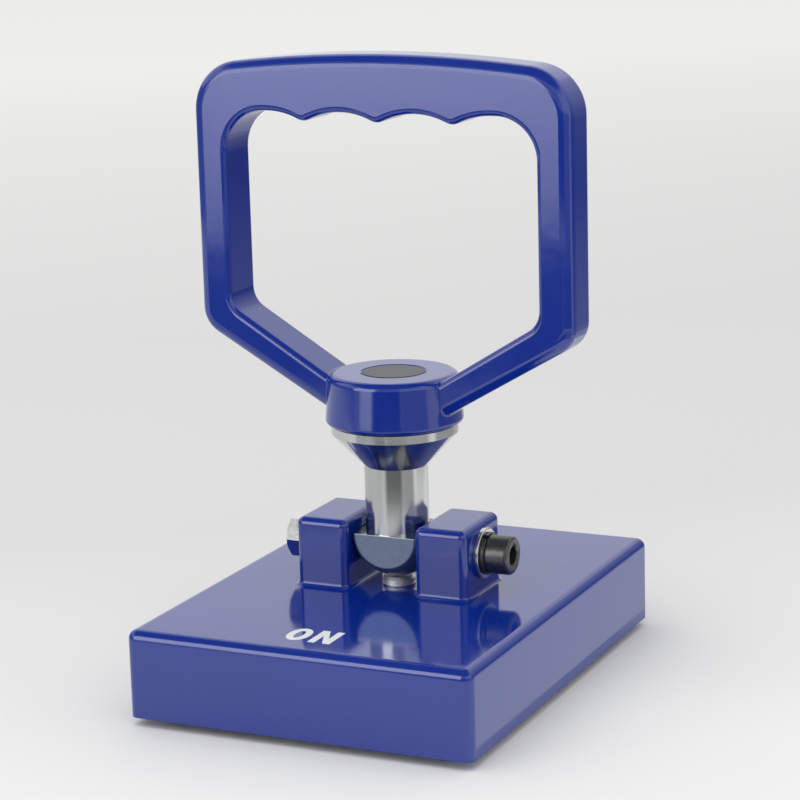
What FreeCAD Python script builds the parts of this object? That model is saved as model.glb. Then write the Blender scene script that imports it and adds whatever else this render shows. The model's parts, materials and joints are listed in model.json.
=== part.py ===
import FreeCAD, Part
import math
import os
import Sketcher

# Hand-held permanent magnetic lifter. The frame stands on the magnet faces: z = 0 is the face plane,
# the rod axis is x = y = 0, the pivot bolt lies along X, and the handle is upright in the XZ plane.

V = FreeCAD.Vector
Z_AXIS = V(0, 0, 1)
TOUCH = 1e-4

doc = FreeCAD.newDocument("magnetic_lifter")

# Driving sizes in millimetres, angles in degrees
SIZES = [
    ("block_width", 120.0),
    ("block_depth", 158.6),
    ("block_height", 29.0),
    ("block_round", 3.2),
    ("block_wall", 3.0),
    ("lug_thickness", 18.5),
    ("lug_depth", 29.6),
    ("lug_height", 23.5),
    ("lug_round", 2.5),
    ("lug_root", 1.6),
    ("plate_thickness", 10.0),
    ("plate_corner", 4.0),
    ("plate_fit", 0.1),
    ("magnet_diameter", 8.0),
    ("magnet_length", 8.0),
    ("magnet_proud", 3.0),
    ("magnet_edge", 0.6),
    ("magnet_fit", 0.05),
    ("column_first", 15.2),
    ("column_pitch", 16.8),
    ("row_pitch", 17.2),
    ("row_count", 9),
    ("plate_screw_diameter", 5.0),
    ("plate_screw_head", 10.0),
    ("plate_screw_length", 20.0),
    ("plate_screw_key", 3.0),
    ("screw_rows_apart", 7),
    ("screw_columns_in", 1.5),
    ("thread_fit", 0.05),
    ("rod_diameter", 11.0),
    ("rod_tail_diameter", 9.0),
    ("rod_collar_diameter", 17.0),
    ("rod_collar_thickness", 2.0),
    ("rod_gap", 0.2),
    ("rod_edge", 0.9),
    ("rod_groove_depth", 0.45),
    ("rod_groove_width", 0.8),
    ("rod_groove_below", 1.9),
    ("rod_lip", 2.5),
    ("rod_stop_gap", 0.3),
    ("rod_clearance", 0.12),
    ("running_fit", 0.04),
    ("press_fit", 0.02),
    ("rod_bush_wall", 2.0),
    ("rod_bush_length", 8.0),
    ("spring_wire", 1.8),
    ("spring_diameter", 15.6),
    ("spring_turns", 3.5),
    ("spring_room", 3.0),
    ("spring_seat_web", 1.5),
    ("foot_diameter", 16.0),
    ("foot_clear", 0.4),
    ("foot_gap", 0.6),
    ("foot_screw_diameter", 4.0),
    ("foot_screw_head", 7.0),
    ("foot_screw_length", 10.0),
    ("foot_screw_key", 2.5),
    ("pivot_height", 13.0),
    ("bolt_diameter", 8.0),
    ("bolt_head_diameter", 13.0),
    ("bolt_head_height", 8.0),
    ("bolt_key", 6.0),
    ("bolt_key_depth", 4.0),
    ("bolt_end_in", 2.7),
    ("bolt_edge", 0.8),
    ("bolt_clearance", 0.1),
    ("washer_diameter", 17.0),
    ("washer_thickness", 1.6),
    ("washer_play", 0.2),
    ("lock_diameter", 14.2),
    ("lock_thickness", 1.4),
    ("lock_split", 1.5),
    ("nut_flats", 13.0),
    ("nut_height", 6.5),
    ("nut_bevel_angle", 30.0),
    ("knuckle_width", 23.6),
    ("knuckle_depth", 22.0),
    ("knuckle_radius", 15.6),
    ("knuckle_edge", 0.8),
    ("knuckle_play", 0.5),
    ("knuckle_bush_wall", 1.0),
    ("cam_throw", 5.4),
    ("shoulder_height", 5.6),
    ("stem_diameter", 21.3),
    ("stem_length", 22.4),
    ("cone_height", 11.2),
    ("flange_diameter", 42.4),
    ("flange_rim", 3.3),
    ("flange_edge", 0.5),
    ("spigot_diameter", 21.2),
    ("spigot_edge", 0.6),
    ("hub_diameter", 46.2),
    ("hub_top_diameter", 43.2),
    ("hub_height", 16.8),
    ("hub_round", 2.5),
    ("hub_foot_round", 1.5),
    ("handle_width", 133.8),
    ("handle_thickness", 18.0),
    ("handle_height", 121.6),
    ("handle_round", 4.0),
    ("crown_radius", 480.0),
    ("shoulder_radius", 16.5),
    ("limb_width", 11.8),
    ("limb_round", 1.0),
    ("limb_root", 16.0),
    ("limb_slope", 30.0),
    ("limb_foot", 1.2),
    ("elbow_radius", 10.0),
    ("window_slope", 31.5),
    ("window_foot", 13.0),
    ("window_elbow_radius", 8.0),
    ("window_radius", 14.0),
    ("window_round", 2.0),
    ("grip_height", 102.8),
    ("finger_run", 1.5),
    ("finger_depth", 3.0),
    ("finger_ridge", 4.5),
]
sheet = doc.addObject("Spreadsheet::Sheet", "size")
for row, (name, number) in enumerate(SIZES, start=1):
    sheet.set(f"A{row}", name)
    sheet.set(f"B{row}", str(number))
    sheet.setAlias(f"B{row}", name)
doc.recompute()

# Levels and places that several pieces share, each worked out from the driving sizes
BLOCK_TOP = "(size.magnet_proud + size.block_height)"
PLATE_TOP = "(size.magnet_proud + size.plate_thickness)"
PLATE_WIDTH = "(size.block_width - 2 * size.block_wall - 2 * size.plate_fit)"
PLATE_DEPTH = "(size.block_depth - 2 * size.block_wall - 2 * size.plate_fit)"
SPRING_SEAT = "(size.magnet_length + size.spring_seat_web)"
BUSH_TOP = f"({BLOCK_TOP} - size.rod_lip)"
BUSH_FOOT = f"({BUSH_TOP} - size.rod_bush_length)"
COLLAR_TOP = f"({BUSH_FOOT} - size.rod_stop_gap)"
COLLAR_FOOT = f"({COLLAR_TOP} - size.rod_collar_thickness)"
SPRING_ROOM = "(size.spring_diameter + size.spring_wire + size.spring_room)"
FOOT_TOP = "(size.magnet_proud - size.foot_gap)"
LUG_INNER = "(size.knuckle_width / 2 + size.knuckle_play)"
LUG_OUTER = f"({LUG_INNER} + size.lug_thickness)"
LUG_TOP = f"({BLOCK_TOP} + size.lug_height)"
BOLT_SEAT = f"({LUG_OUTER} + size.washer_thickness + size.lock_thickness)"
NUT_END = f"({LUG_OUTER} + size.washer_thickness + size.nut_height)"
BOLT_LENGTH = f"({BOLT_SEAT} + {NUT_END} - size.bolt_end_in)"
PIVOT = f"({BLOCK_TOP} + size.pivot_height)"
KNUCKLE_CENTRE = f"({PIVOT} + size.cam_throw)"
KNUCKLE_FOOT = f"({KNUCKLE_CENTRE} - size.knuckle_radius)"
ROD_TOP = f"({KNUCKLE_FOOT} - size.rod_gap)"
SHOULDER = f"({PIVOT} + size.shoulder_height)"
CONE_FOOT = f"({SHOULDER} + size.stem_length)"
CONE_TOP = f"({CONE_FOOT} + size.cone_height)"
HUB_SEAT = f"({CONE_TOP} + size.flange_rim)"
HUB_TOP = f"({HUB_SEAT} + size.hub_height)"
LIMB_RUN = "(size.handle_width / 2 - size.limb_root)"
LIMB_ELBOW = f"({HUB_SEAT} + size.limb_foot + {LIMB_RUN} * tan(size.limb_slope))"
WINDOW_HALF = "(size.handle_width / 2 - size.limb_width)"
WINDOW_RUN = f"({WINDOW_HALF} - size.limb_root)"
WINDOW_ELBOW = f"({HUB_SEAT} + size.window_foot + {WINDOW_RUN} * tan(size.window_slope))"
FINGER_PITCH = f"(({WINDOW_HALF} - size.window_radius - size.finger_run) / 1.5)"
KNUCKLE_BORE = "(size.bolt_diameter + 2 * size.running_fit)"
BUSH_OUTER = f"({KNUCKLE_BORE} + 2 * size.knuckle_bush_wall)"
SCREW_X = "(size.column_first + size.screw_columns_in * size.column_pitch)"
SCREW_Y = "(size.screw_rows_apart * size.row_pitch / 2)"
FIRST_ROW = "(-(size.row_count - 1) / 2 * size.row_pitch)"
NODES = {}


def value(expression):
    """Number that an expression gives with the sizes as they are."""
    return float(sheet.evalExpression(expression))


def node(label, piece):
    """Keep a finished piece under its own name."""
    piece.Label = label
    NODES[label] = piece
    return piece


def bind(feature, **expressions):
    """Tie properties of a feature to the sizes."""
    for name, expression in expressions.items():
        feature.setExpression(name, expression)


def move(piece, x="0", y="0", z="0"):
    """Tie the place of a piece to the sizes."""
    for axis, expression in (("x", x), ("y", y), ("z", z)):
        piece.setExpression(f"Placement.Base.{axis}", expression)


def along_x(piece):
    """Turn a piece that was made along Z until it lies along X."""
    piece.Placement = FreeCAD.Placement(V(), FreeCAD.Rotation(V(0, 1, 0), 90))


def new_body(name):
    return doc.addObject("PartDesign::Body", name)


def sketch_on(body, role, name, level="0"):
    """Sketch on one of the body's own planes, raised by a level along the plane's normal."""
    sketch = body.newObject("Sketcher::SketchObject", name)
    plane = next(item for item in body.Origin.OriginFeatures if item.Role == role)
    sketch.AttachmentSupport = [(plane, "")]
    sketch.MapMode = "FlatFace"
    sketch.setExpression("AttachmentOffset.Base.z", level)
    return sketch


def rule(sketch, expression, kind, *places):
    """Dimension in a sketch whose number is an expression."""
    number = sketch.addConstraint(Sketcher.Constraint(kind, *places, value(expression)))
    sketch.setExpression(f"Constraints[{number}]", expression)


def pin(sketch, shape, point, x, y):
    """Dimension a point of a shape from the sketch origin."""
    if x is not None:
        rule(sketch, x, "DistanceX", -1, 1, shape, point)
    if y is not None:
        rule(sketch, y, "DistanceY", -1, 1, shape, point)


def polygon(sketch, corners):
    """Closed outline of straight edges, with each corner dimensioned from the origin."""
    places = [V(value(x), value(y), 0) for x, y in corners]
    first = sketch.GeometryCount
    for start, end in zip(places, places[1:] + places[:1]):
        sketch.addGeometry(Part.LineSegment(start, end))
    for step, (x, y) in enumerate(corners):
        before = first + (step - 1) % len(corners)
        sketch.addConstraint(Sketcher.Constraint("Coincident", before, 2, first + step, 1))
        pin(sketch, first + step, 1, x, y)


def rounded(sketch, before, after, radius):
    """Round the corner between two straight edges. Its sharp point stays, and stays dimensioned."""
    sides = [sketch.Geometry[before], sketch.Geometry[after]]
    middles = [(side.StartPoint + side.EndPoint) / 2 for side in sides]
    arc = sketch.GeometryCount
    sketch.fillet(before, after, *middles, value(radius), True, True)
    rule(sketch, radius, "Radius", arc)


def rectangle(sketch, left, right, low, high):
    polygon(sketch, [(left, low), (right, low), (right, high), (left, high)])


def centred(sketch, width, depth):
    rectangle(sketch, f"-{width} / 2", f"{width} / 2", f"-{depth} / 2", f"{depth} / 2")


def circle(sketch, x, y, diameter):
    shape = sketch.addGeometry(Part.Circle(V(value(x), value(y), 0), Z_AXIS, value(diameter) / 2))
    pin(sketch, shape, 3, x, y)
    rule(sketch, diameter, "Diameter", shape)


def hexagon(sketch, flats):
    """Hexagon by its width across flats, with two corners on the sketch's vertical axis."""
    reach = f"{flats} / sqrt(3)"
    turns = [90 + 60 * step for step in range(6)]
    polygon(sketch, [(f"{reach} * cos({turn})", f"{reach} * sin({turn})") for turn in turns])


def add(body, kind, name, **settings):
    """Feature of a body, which becomes its tip."""
    feature = body.newObject("PartDesign::" + kind, name)
    for key, setting in settings.items():
        setattr(feature, key, setting)
    body.Tip = feature
    return feature


def pad(body, sketch, name, length, **settings):
    feature = add(body, "Pad", name, Profile=sketch, **settings)
    bind(feature, Length=length)
    return feature


def pocket(body, sketch, name, length, **settings):
    feature = add(body, "Pocket", name, Profile=sketch, **settings)
    bind(feature, Length=length)
    return feature


def through(body, sketch, name):
    """Cut a sketch through the whole piece, both ways."""
    return add(body, "Pocket", name, Profile=sketch, Type="ThroughAll", SideType="Symmetric")


def turned(body, sketch, name, kind="Revolution"):
    """Full turn of a sketch about its own vertical axis."""
    return add(body, kind, name, Profile=sketch, ReferenceAxis=(sketch, ["V_Axis"]), Angle=360.0)


def rows(body, originals, axis, name, length, occurrences):
    """Repeat features in a straight row."""
    line = next(item for item in body.Origin.OriginFeatures if item.Role == axis)
    feature = add(body, "LinearPattern", name, Originals=originals, Direction=(line, [""]))
    bind(feature, Length=length, Occurrences=occurrences)
    return feature


def mirrored(body, originals, role, name):
    plane = next(item for item in body.Origin.OriginFeatures if item.Role == role)
    return add(body, "Mirrored", name, Originals=originals, MirrorPlane=(plane, [""]))


def edges_of(body, chosen):
    doc.recompute()
    return [f"Edge{step}" for step, edge in enumerate(body.Tip.Shape.Edges, start=1) if chosen(edge)]


def fillet(body, name, radius, chosen):
    edges = edges_of(body, chosen)
    bind(add(body, "Fillet", name, Base=(body.Tip, edges)), Radius=radius)


def near(number, expression):
    return abs(number - value(expression)) < TOUCH


def upright(edge):
    box = edge.BoundBox
    return box.XLength < TOUCH and box.YLength < TOUCH


def level_at(edge, expression):
    box = edge.BoundBox
    return near(box.ZMin, expression) and near(box.ZMax, expression)


def sleeve(label, bore, outer, length):
    """Plain tube, made along Z from z = 0."""
    body = doc.addObject("Part::Cylinder", label + "_outside")
    bind(body, Radius=f"{outer} / 2", Height=length)
    hole = doc.addObject("Part::Cylinder", label + "_bore")
    bind(hole, Radius=f"{bore} / 2", Height=length)
    tube = doc.addObject("Part::Cut", label)
    tube.Base = body
    tube.Tool = hole
    return node(label, tube)


def countersunk(body, name, diameter, head, length, key):
    """Countersunk screw with its head face at z = 0 and its shank upwards."""
    profile = sketch_on(body, "XZ_Plane", name + "_profile")
    cone = f"({head} - {diameter}) / 2"
    polygon(profile, [("0", "0"), (f"{head} / 2", "0"), (f"{diameter} / 2", cone),
                      (f"{diameter} / 2", length), ("0", length)])
    shank = turned(body, profile, name + "_shank")
    socket = sketch_on(body, "XY_Plane", name + "_socket")
    hexagon(socket, key)
    hole = pocket(body, socket, name + "_key", f"{key} / 2", Reversed=True)
    return [shank, hole]


def make_housing():
    """Cast block with two lugs, recessed below for the magnet plate and bored for the push rod."""
    body = new_body("housing_body")
    block = sketch_on(body, "XY_Plane", "block_outline", "size.magnet_proud")
    centred(block, "size.block_width", "size.block_depth")
    pad(body, block, "block", "size.block_height")

    lugs = sketch_on(body, "XY_Plane", "lug_outline", BLOCK_TOP)
    for left, right in ((f"-{LUG_OUTER}", f"-{LUG_INNER}"), (LUG_INNER, LUG_OUTER)):
        rectangle(lugs, left, right, "-size.lug_depth / 2", "size.lug_depth / 2")
    pad(body, lugs, "lugs", "size.lug_height")
    fillet(body, "lug_edges", "size.lug_round", lambda edge: (
        level_at(edge, LUG_TOP) or upright(edge) and near(edge.BoundBox.ZMax, LUG_TOP)))

    def at_lug_root(edge):
        box = edge.BoundBox
        inside = max(abs(box.XMin), abs(box.XMax)) < value(LUG_OUTER) + TOUCH
        return level_at(edge, BLOCK_TOP) and inside and box.YLength < value("size.lug_depth") + TOUCH

    fillet(body, "lug_roots", "size.lug_root", at_lug_root)

    def at_block_rim(edge):
        box = edge.BoundBox
        reach_x = near(max(abs(box.XMin), abs(box.XMax)), "size.block_width / 2")
        reach_y = near(max(abs(box.YMin), abs(box.YMax)), "size.block_depth / 2")
        return (reach_x or reach_y) and (upright(edge) or level_at(edge, BLOCK_TOP))

    fillet(body, "block_edges", "size.block_round", at_block_rim)

    bolt_hole = sketch_on(body, "YZ_Plane", "bolt_hole_outline")
    circle(bolt_hole, "0", PIVOT, "size.bolt_diameter + 2 * size.bolt_clearance")
    through(body, bolt_hole, "bolt_hole")

    recess = sketch_on(body, "XY_Plane", "recess_outline", "size.magnet_proud")
    centred(recess, f"({PLATE_WIDTH} + 2 * size.plate_fit)", f"({PLATE_DEPTH} + 2 * size.plate_fit)")
    pocket(body, recess, "recess", "size.plate_thickness", Reversed=True)
    fillet(body, "recess_corners", "size.plate_corner + size.plate_fit", lambda edge: (
        upright(edge) and near(edge.BoundBox.ZMax, PLATE_TOP)))

    bore = sketch_on(body, "XZ_Plane", "rod_bore_profile")
    lip = "(size.rod_diameter / 2 + size.rod_clearance)"
    seat = "(size.rod_diameter / 2 + size.running_fit + size.rod_bush_wall + size.press_fit)"
    room = f"{SPRING_ROOM} / 2"
    polygon(bore, [("0", PLATE_TOP), (room, PLATE_TOP), (room, BUSH_FOOT), (seat, BUSH_FOOT),
                   (seat, BUSH_TOP), (lip, BUSH_TOP), (lip, BLOCK_TOP), ("0", BLOCK_TOP)])
    turned(body, bore, "rod_bore", "Groove")

    tapped = sketch_on(body, "XY_Plane", "tapped_hole_outline", PLATE_TOP)
    for x in (f"-{SCREW_X}", SCREW_X):
        for y in (f"-{SCREW_Y}", SCREW_Y):
            circle(tapped, x, y, "size.plate_screw_diameter + 2 * size.thread_fit")
    depth = "size.plate_screw_length - size.plate_thickness + size.plate_screw_diameter / 2"
    pocket(body, tapped, "tapped_holes", depth, Reversed=True)
    return node("housing", body)


def two_by_two(body, originals, name, backwards):
    """Repeat features on the four plate screw places."""
    across = next(item for item in body.Origin.OriginFeatures if item.Role == "X_Axis")
    deep = next(item for item in body.Origin.OriginFeatures if item.Role == "Y_Axis")
    grid = add(body, "LinearPattern", name, Originals=originals, Occurrences=2, Occurrences2=2,
               Direction=(across, [""]), Direction2=(deep, [""]), Reversed=backwards, Reversed2=backwards)
    bind(grid, Length=f"2 * {SCREW_X}", Length2=f"2 * {SCREW_Y}")
    return grid


def make_magnet_plate():
    """Steel plate that fills the recess, with a blind seat for each magnet and one for the spring."""
    body = new_body("magnet_plate_body")
    outline = sketch_on(body, "XY_Plane", "plate_outline", "size.magnet_proud")
    centred(outline, PLATE_WIDTH, PLATE_DEPTH)
    pad(body, outline, "plate", "size.plate_thickness")
    fillet(body, "plate_corners", "size.plate_corner", upright)

    first_row = sketch_on(body, "XY_Plane", "first_row_outline", "size.magnet_proud")
    for column in range(3):
        for side in ("-", ""):
            x = f"{side}(size.column_first + {column} * size.column_pitch)"
            circle(first_row, x, FIRST_ROW, "size.magnet_diameter + 2 * size.magnet_fit")
    seats = pocket(body, first_row, "first_row", "size.magnet_length - size.magnet_proud", Reversed=True)
    rows(body, [seats], "Y_Axis", "magnet_seats", "(size.row_count - 1) * size.row_pitch", "size.row_count")

    middle = sketch_on(body, "XZ_Plane", "spring_seat_profile")
    tail = "(size.rod_tail_diameter / 2 + size.rod_clearance)"
    room = f"{SPRING_ROOM} / 2"
    polygon(middle, [("0", "size.magnet_proud"), (tail, "size.magnet_proud"), (tail, SPRING_SEAT),
                     (room, SPRING_SEAT), (room, PLATE_TOP), ("0", PLATE_TOP)])
    turned(body, middle, "spring_seat", "Groove")

    head = sketch_on(body, "XZ_Plane", "countersink_profile", f"-{SCREW_Y}")
    hole = "(size.plate_screw_diameter / 2 + size.thread_fit)"
    wide = "(size.plate_screw_head / 2 + size.thread_fit)"
    cone_top = f"(size.magnet_proud + {wide} - {hole})"
    polygon(head, [(SCREW_X, "size.magnet_proud"), (f"{SCREW_X} + {wide}", "size.magnet_proud"),
                   (f"{SCREW_X} + {hole}", cone_top), (f"{SCREW_X} + {hole}", PLATE_TOP),
                   (SCREW_X, PLATE_TOP)])
    axis = head.addGeometry(Part.LineSegment(V(value(SCREW_X), 0, 0), V(value(SCREW_X), 1, 0)), True)
    pin(head, axis, 1, SCREW_X, "0")
    pin(head, axis, 2, SCREW_X, "1")
    one = add(body, "Groove", "countersink", Profile=head, ReferenceAxis=(head, ["Axis0"]), Angle=360.0)
    two_by_two(body, [one], "countersinks", True)
    return node("magnet_plate", body)


def make_plate_screws():
    """Four countersunk screws that hold the magnet plate in the recess."""
    body = new_body("plate_screws_body")
    body.AllowCompound = True
    features = countersunk(body, "plate_screw", "size.plate_screw_diameter", "size.plate_screw_head",
                           "size.plate_screw_length", "size.plate_screw_key")
    two_by_two(body, features, "plate_screw_grid", False)
    move(body, f"-{SCREW_X}", f"-{SCREW_Y}", "size.magnet_proud")
    return node("plate_screws", body)


def make_magnet_column(number, x):
    """One column of round magnets, each seated in the plate and standing proud of the block."""
    label = f"magnet_column_{number}"
    body = new_body(label + "_body")
    body.AllowCompound = True
    profile = sketch_on(body, "XZ_Plane", label + "_profile")
    radius = "size.magnet_diameter / 2"
    polygon(profile, [("0", "0"), (f"{radius} - size.magnet_edge", "0"), (radius, "size.magnet_edge"),
                      (radius, "size.magnet_length"), ("0", "size.magnet_length")])
    one = turned(body, profile, label + "_magnet")
    rows(body, [one], "Y_Axis", label + "_row", "(size.row_count - 1) * size.row_pitch", "size.row_count")
    move(body, x, FIRST_ROW)
    return node(label, body)


def make_push_rod():
    """Turned rod: its top stands under the knuckle, its collar takes the spring, its tail has the foot."""
    body = new_body("push_rod_body")
    profile = sketch_on(body, "XZ_Plane", "push_rod_profile")
    radius = "size.rod_diameter / 2"
    tail = "size.rod_tail_diameter / 2"
    collar = "size.rod_collar_diameter / 2"
    hole = "(size.foot_screw_diameter / 2 + size.thread_fit)"
    hole_top = f"({FOOT_TOP} + size.foot_screw_length)"
    groove_top = f"({ROD_TOP} - size.rod_groove_below)"
    groove_foot = f"({groove_top} - size.rod_groove_width)"
    groove = f"({radius} - size.rod_groove_depth)"
    polygon(profile, [(hole, FOOT_TOP), (tail, FOOT_TOP), (tail, COLLAR_FOOT), (collar, COLLAR_FOOT),
                      (collar, COLLAR_TOP), (radius, COLLAR_TOP), (radius, groove_foot),
                      (groove, groove_foot), (groove, groove_top), (radius, groove_top),
                      (radius, f"{ROD_TOP} - size.rod_edge"), (f"{radius} - size.rod_edge", ROD_TOP),
                      ("0", ROD_TOP), ("0", hole_top), (hole, hole_top)])
    turned(body, profile, "push_rod_turning")
    return node("push_rod", body)


def make_push_foot():
    """Round foot that bears on the load, held to the rod by one countersunk screw."""
    body = new_body("push_foot_body")
    profile = sketch_on(body, "XZ_Plane", "push_foot_profile")
    hole = "(size.foot_screw_diameter / 2 + size.thread_fit)"
    wide = "(size.foot_screw_head / 2 + size.thread_fit)"
    radius = "size.foot_diameter / 2"
    edge = "size.magnet_edge"
    polygon(profile, [(wide, "size.foot_clear"), (f"{radius} - {edge}", "size.foot_clear"),
                      (radius, f"size.foot_clear + {edge}"), (radius, FOOT_TOP), (hole, FOOT_TOP),
                      (hole, f"size.foot_clear + {wide} - {hole}")])
    turned(body, profile, "push_foot_turning")
    node("push_foot", body)

    screw = new_body("foot_screw_body")
    countersunk(screw, "foot_screw", "size.foot_screw_diameter", "size.foot_screw_head",
                "size.foot_screw_length", "size.foot_screw_key")
    move(screw, z="size.foot_clear")
    node("foot_screw", screw)


def make_return_spring():
    """Compression spring between its seat in the plate and the collar of the rod."""
    body = new_body("return_spring_body")
    section = sketch_on(body, "XZ_Plane", "spring_section")
    circle(section, "size.spring_diameter / 2", f"{SPRING_SEAT} + size.spring_wire / 2", "size.spring_wire")
    coil = add(body, "AdditiveHelix", "spring_coil", Profile=section, ReferenceAxis=(section, ["V_Axis"]),
               Mode="height-turns-angle")
    bind(coil, Height=f"{COLLAR_FOOT} - {SPRING_SEAT} - size.spring_wire", Turns="size.spring_turns")
    return node("return_spring", body)


def make_pivot_bolt():
    """Socket head cap screw along X, with its head outside the right lug."""
    body = new_body("pivot_bolt_body")
    profile = sketch_on(body, "XZ_Plane", "pivot_bolt_profile")
    shank = "size.bolt_diameter / 2"
    head = "size.bolt_head_diameter / 2"
    top = "size.bolt_head_height"
    tip = f"-{BOLT_LENGTH}"
    edge = "size.bolt_edge"
    polygon(profile, [("0", tip), (f"{shank} - {edge}", tip), (shank, f"{tip} + {edge}"), (shank, "0"),
                      (head, "0"), (head, f"{top} - {edge}"), (f"{head} - {edge}", top), ("0", top)])
    turned(body, profile, "pivot_bolt_turning")
    key = sketch_on(body, "XY_Plane", "pivot_bolt_key", top)
    hexagon(key, "size.bolt_key")
    pocket(body, key, "pivot_bolt_socket", "size.bolt_key_depth")
    along_x(body)
    move(body, BOLT_SEAT, "0", PIVOT)
    return node("pivot_bolt", body)


def make_bolt_washers():
    """Flat washers on both lugs and a split lock washer under the bolt head."""
    bore = "(size.bolt_diameter + 2 * size.washer_play)"
    for label, x in (("bolt_washer", LUG_OUTER), ("nut_washer", f"-{LUG_OUTER} - size.washer_thickness")):
        washer = sleeve(label, bore, "size.washer_diameter", "size.washer_thickness")
        along_x(washer)
        move(washer, x, "0", PIVOT)

    body = new_body("lock_washer_body")
    ring = sketch_on(body, "XY_Plane", "lock_ring")
    circle(ring, "0", "0", "size.lock_diameter")
    circle(ring, "0", "0", bore)
    pad(body, ring, "lock_ring_pad", "size.lock_thickness")
    split = sketch_on(body, "XY_Plane", "lock_split_outline")
    rectangle(split, "-size.lock_split / 2", "size.lock_split / 2", "-size.lock_diameter", "0")
    through(body, split, "lock_split")
    along_x(body)
    move(body, f"{LUG_OUTER} + size.washer_thickness", "0", PIVOT)
    node("lock_washer", body)


def make_pivot_nut():
    """Hexagon nut on the left lug, bevelled at both ends, with corners to the front and the back."""
    body = new_body("pivot_nut_body")
    outline = sketch_on(body, "XY_Plane", "nut_outline")
    hexagon(outline, "size.nut_flats")
    circle(outline, "0", "0", "size.bolt_diameter + 2 * size.thread_fit")
    pad(body, outline, "nut_blank", "size.nut_height")
    bevels = sketch_on(body, "XZ_Plane", "nut_bevel_profile")
    flat = "size.nut_flats / 2"
    beyond = "size.nut_flats"
    end = "size.nut_height"
    rise = f"({beyond} - {flat}) * tan(size.nut_bevel_angle)"
    polygon(bevels, [(flat, "0"), (beyond, "0"), (beyond, rise)])
    polygon(bevels, [(flat, end), (beyond, end), (beyond, f"{end} - {rise}")])
    turned(body, bevels, "nut_bevels", "Groove")
    along_x(body)
    move(body, f"-{NUT_END}", "0", PIVOT)
    return node("pivot_nut", body)


def make_stem():
    """Turned stem: square cam knuckle with a round underside, neck, cone flange and hub spigot."""
    body = new_body("stem_body")
    profile = sketch_on(body, "XZ_Plane", "stem_profile")
    ball = value("size.knuckle_radius")
    centre = V(0, value(KNUCKLE_CENTRE), 0)
    lift = math.asin((value(SHOULDER) - centre.y) / ball)
    arc = profile.addGeometry(Part.ArcOfCircle(Part.Circle(centre, Z_AXIS, ball), -math.pi / 2, lift))
    pin(profile, arc, 3, "0", KNUCKLE_CENTRE)
    rule(profile, "size.knuckle_radius", "Radius", arc)
    profile.addConstraint(Sketcher.Constraint("PointOnObject", arc, 1, -2))
    pin(profile, arc, 2, None, SHOULDER)

    neck = "size.stem_diameter / 2"
    rim = "size.flange_diameter / 2"
    bevel = "size.flange_edge"
    spigot = "size.spigot_diameter / 2"
    edge = "size.spigot_edge"
    corners = [(neck, SHOULDER), (neck, CONE_FOOT), (rim, CONE_TOP), (rim, f"{HUB_SEAT} - {bevel}"),
               (f"{rim} - {bevel}", HUB_SEAT), (spigot, HUB_SEAT), (spigot, f"{HUB_TOP} - {edge}"),
               (f"{spigot} - {edge}", HUB_TOP), ("0", HUB_TOP), ("0", KNUCKLE_FOOT)]
    places = [V(ball * math.cos(lift), value(SHOULDER), 0)] + [V(value(x), value(y), 0) for x, y in corners]
    last = arc
    for start, end, (x, y) in zip(places, places[1:], corners):
        line = profile.addGeometry(Part.LineSegment(start, end))
        profile.addConstraint(Sketcher.Constraint("Coincident", last, 2, line, 1))
        if (x, y) != corners[-1]:
            pin(profile, line, 2, x, y)
        last = line
    profile.addConstraint(Sketcher.Constraint("Coincident", last, 2, arc, 1))
    turned(body, profile, "stem_turning")

    flats = sketch_on(body, "XY_Plane", "knuckle_flats_outline", SHOULDER)
    centred(flats, "size.knuckle_width", "size.knuckle_depth")
    beyond = "(3 * size.knuckle_radius)"
    centred(flats, beyond, beyond)
    pocket(body, flats, "knuckle_flats", "2 * size.knuckle_radius")

    def at_knuckle_foot(edge):
        box = edge.BoundBox
        below = box.ZMax < value(SHOULDER) + TOUCH and box.ZMin < value(PIVOT)
        return below and box.ZMin > value(KNUCKLE_FOOT) + TOUCH

    fillet(body, "knuckle_edges", "size.knuckle_edge", at_knuckle_foot)
    bore = sketch_on(body, "YZ_Plane", "knuckle_bore_outline")
    circle(bore, "0", PIVOT, f"{BUSH_OUTER} + 2 * size.press_fit")
    through(body, bore, "knuckle_bore")
    return node("stem", body)


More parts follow.
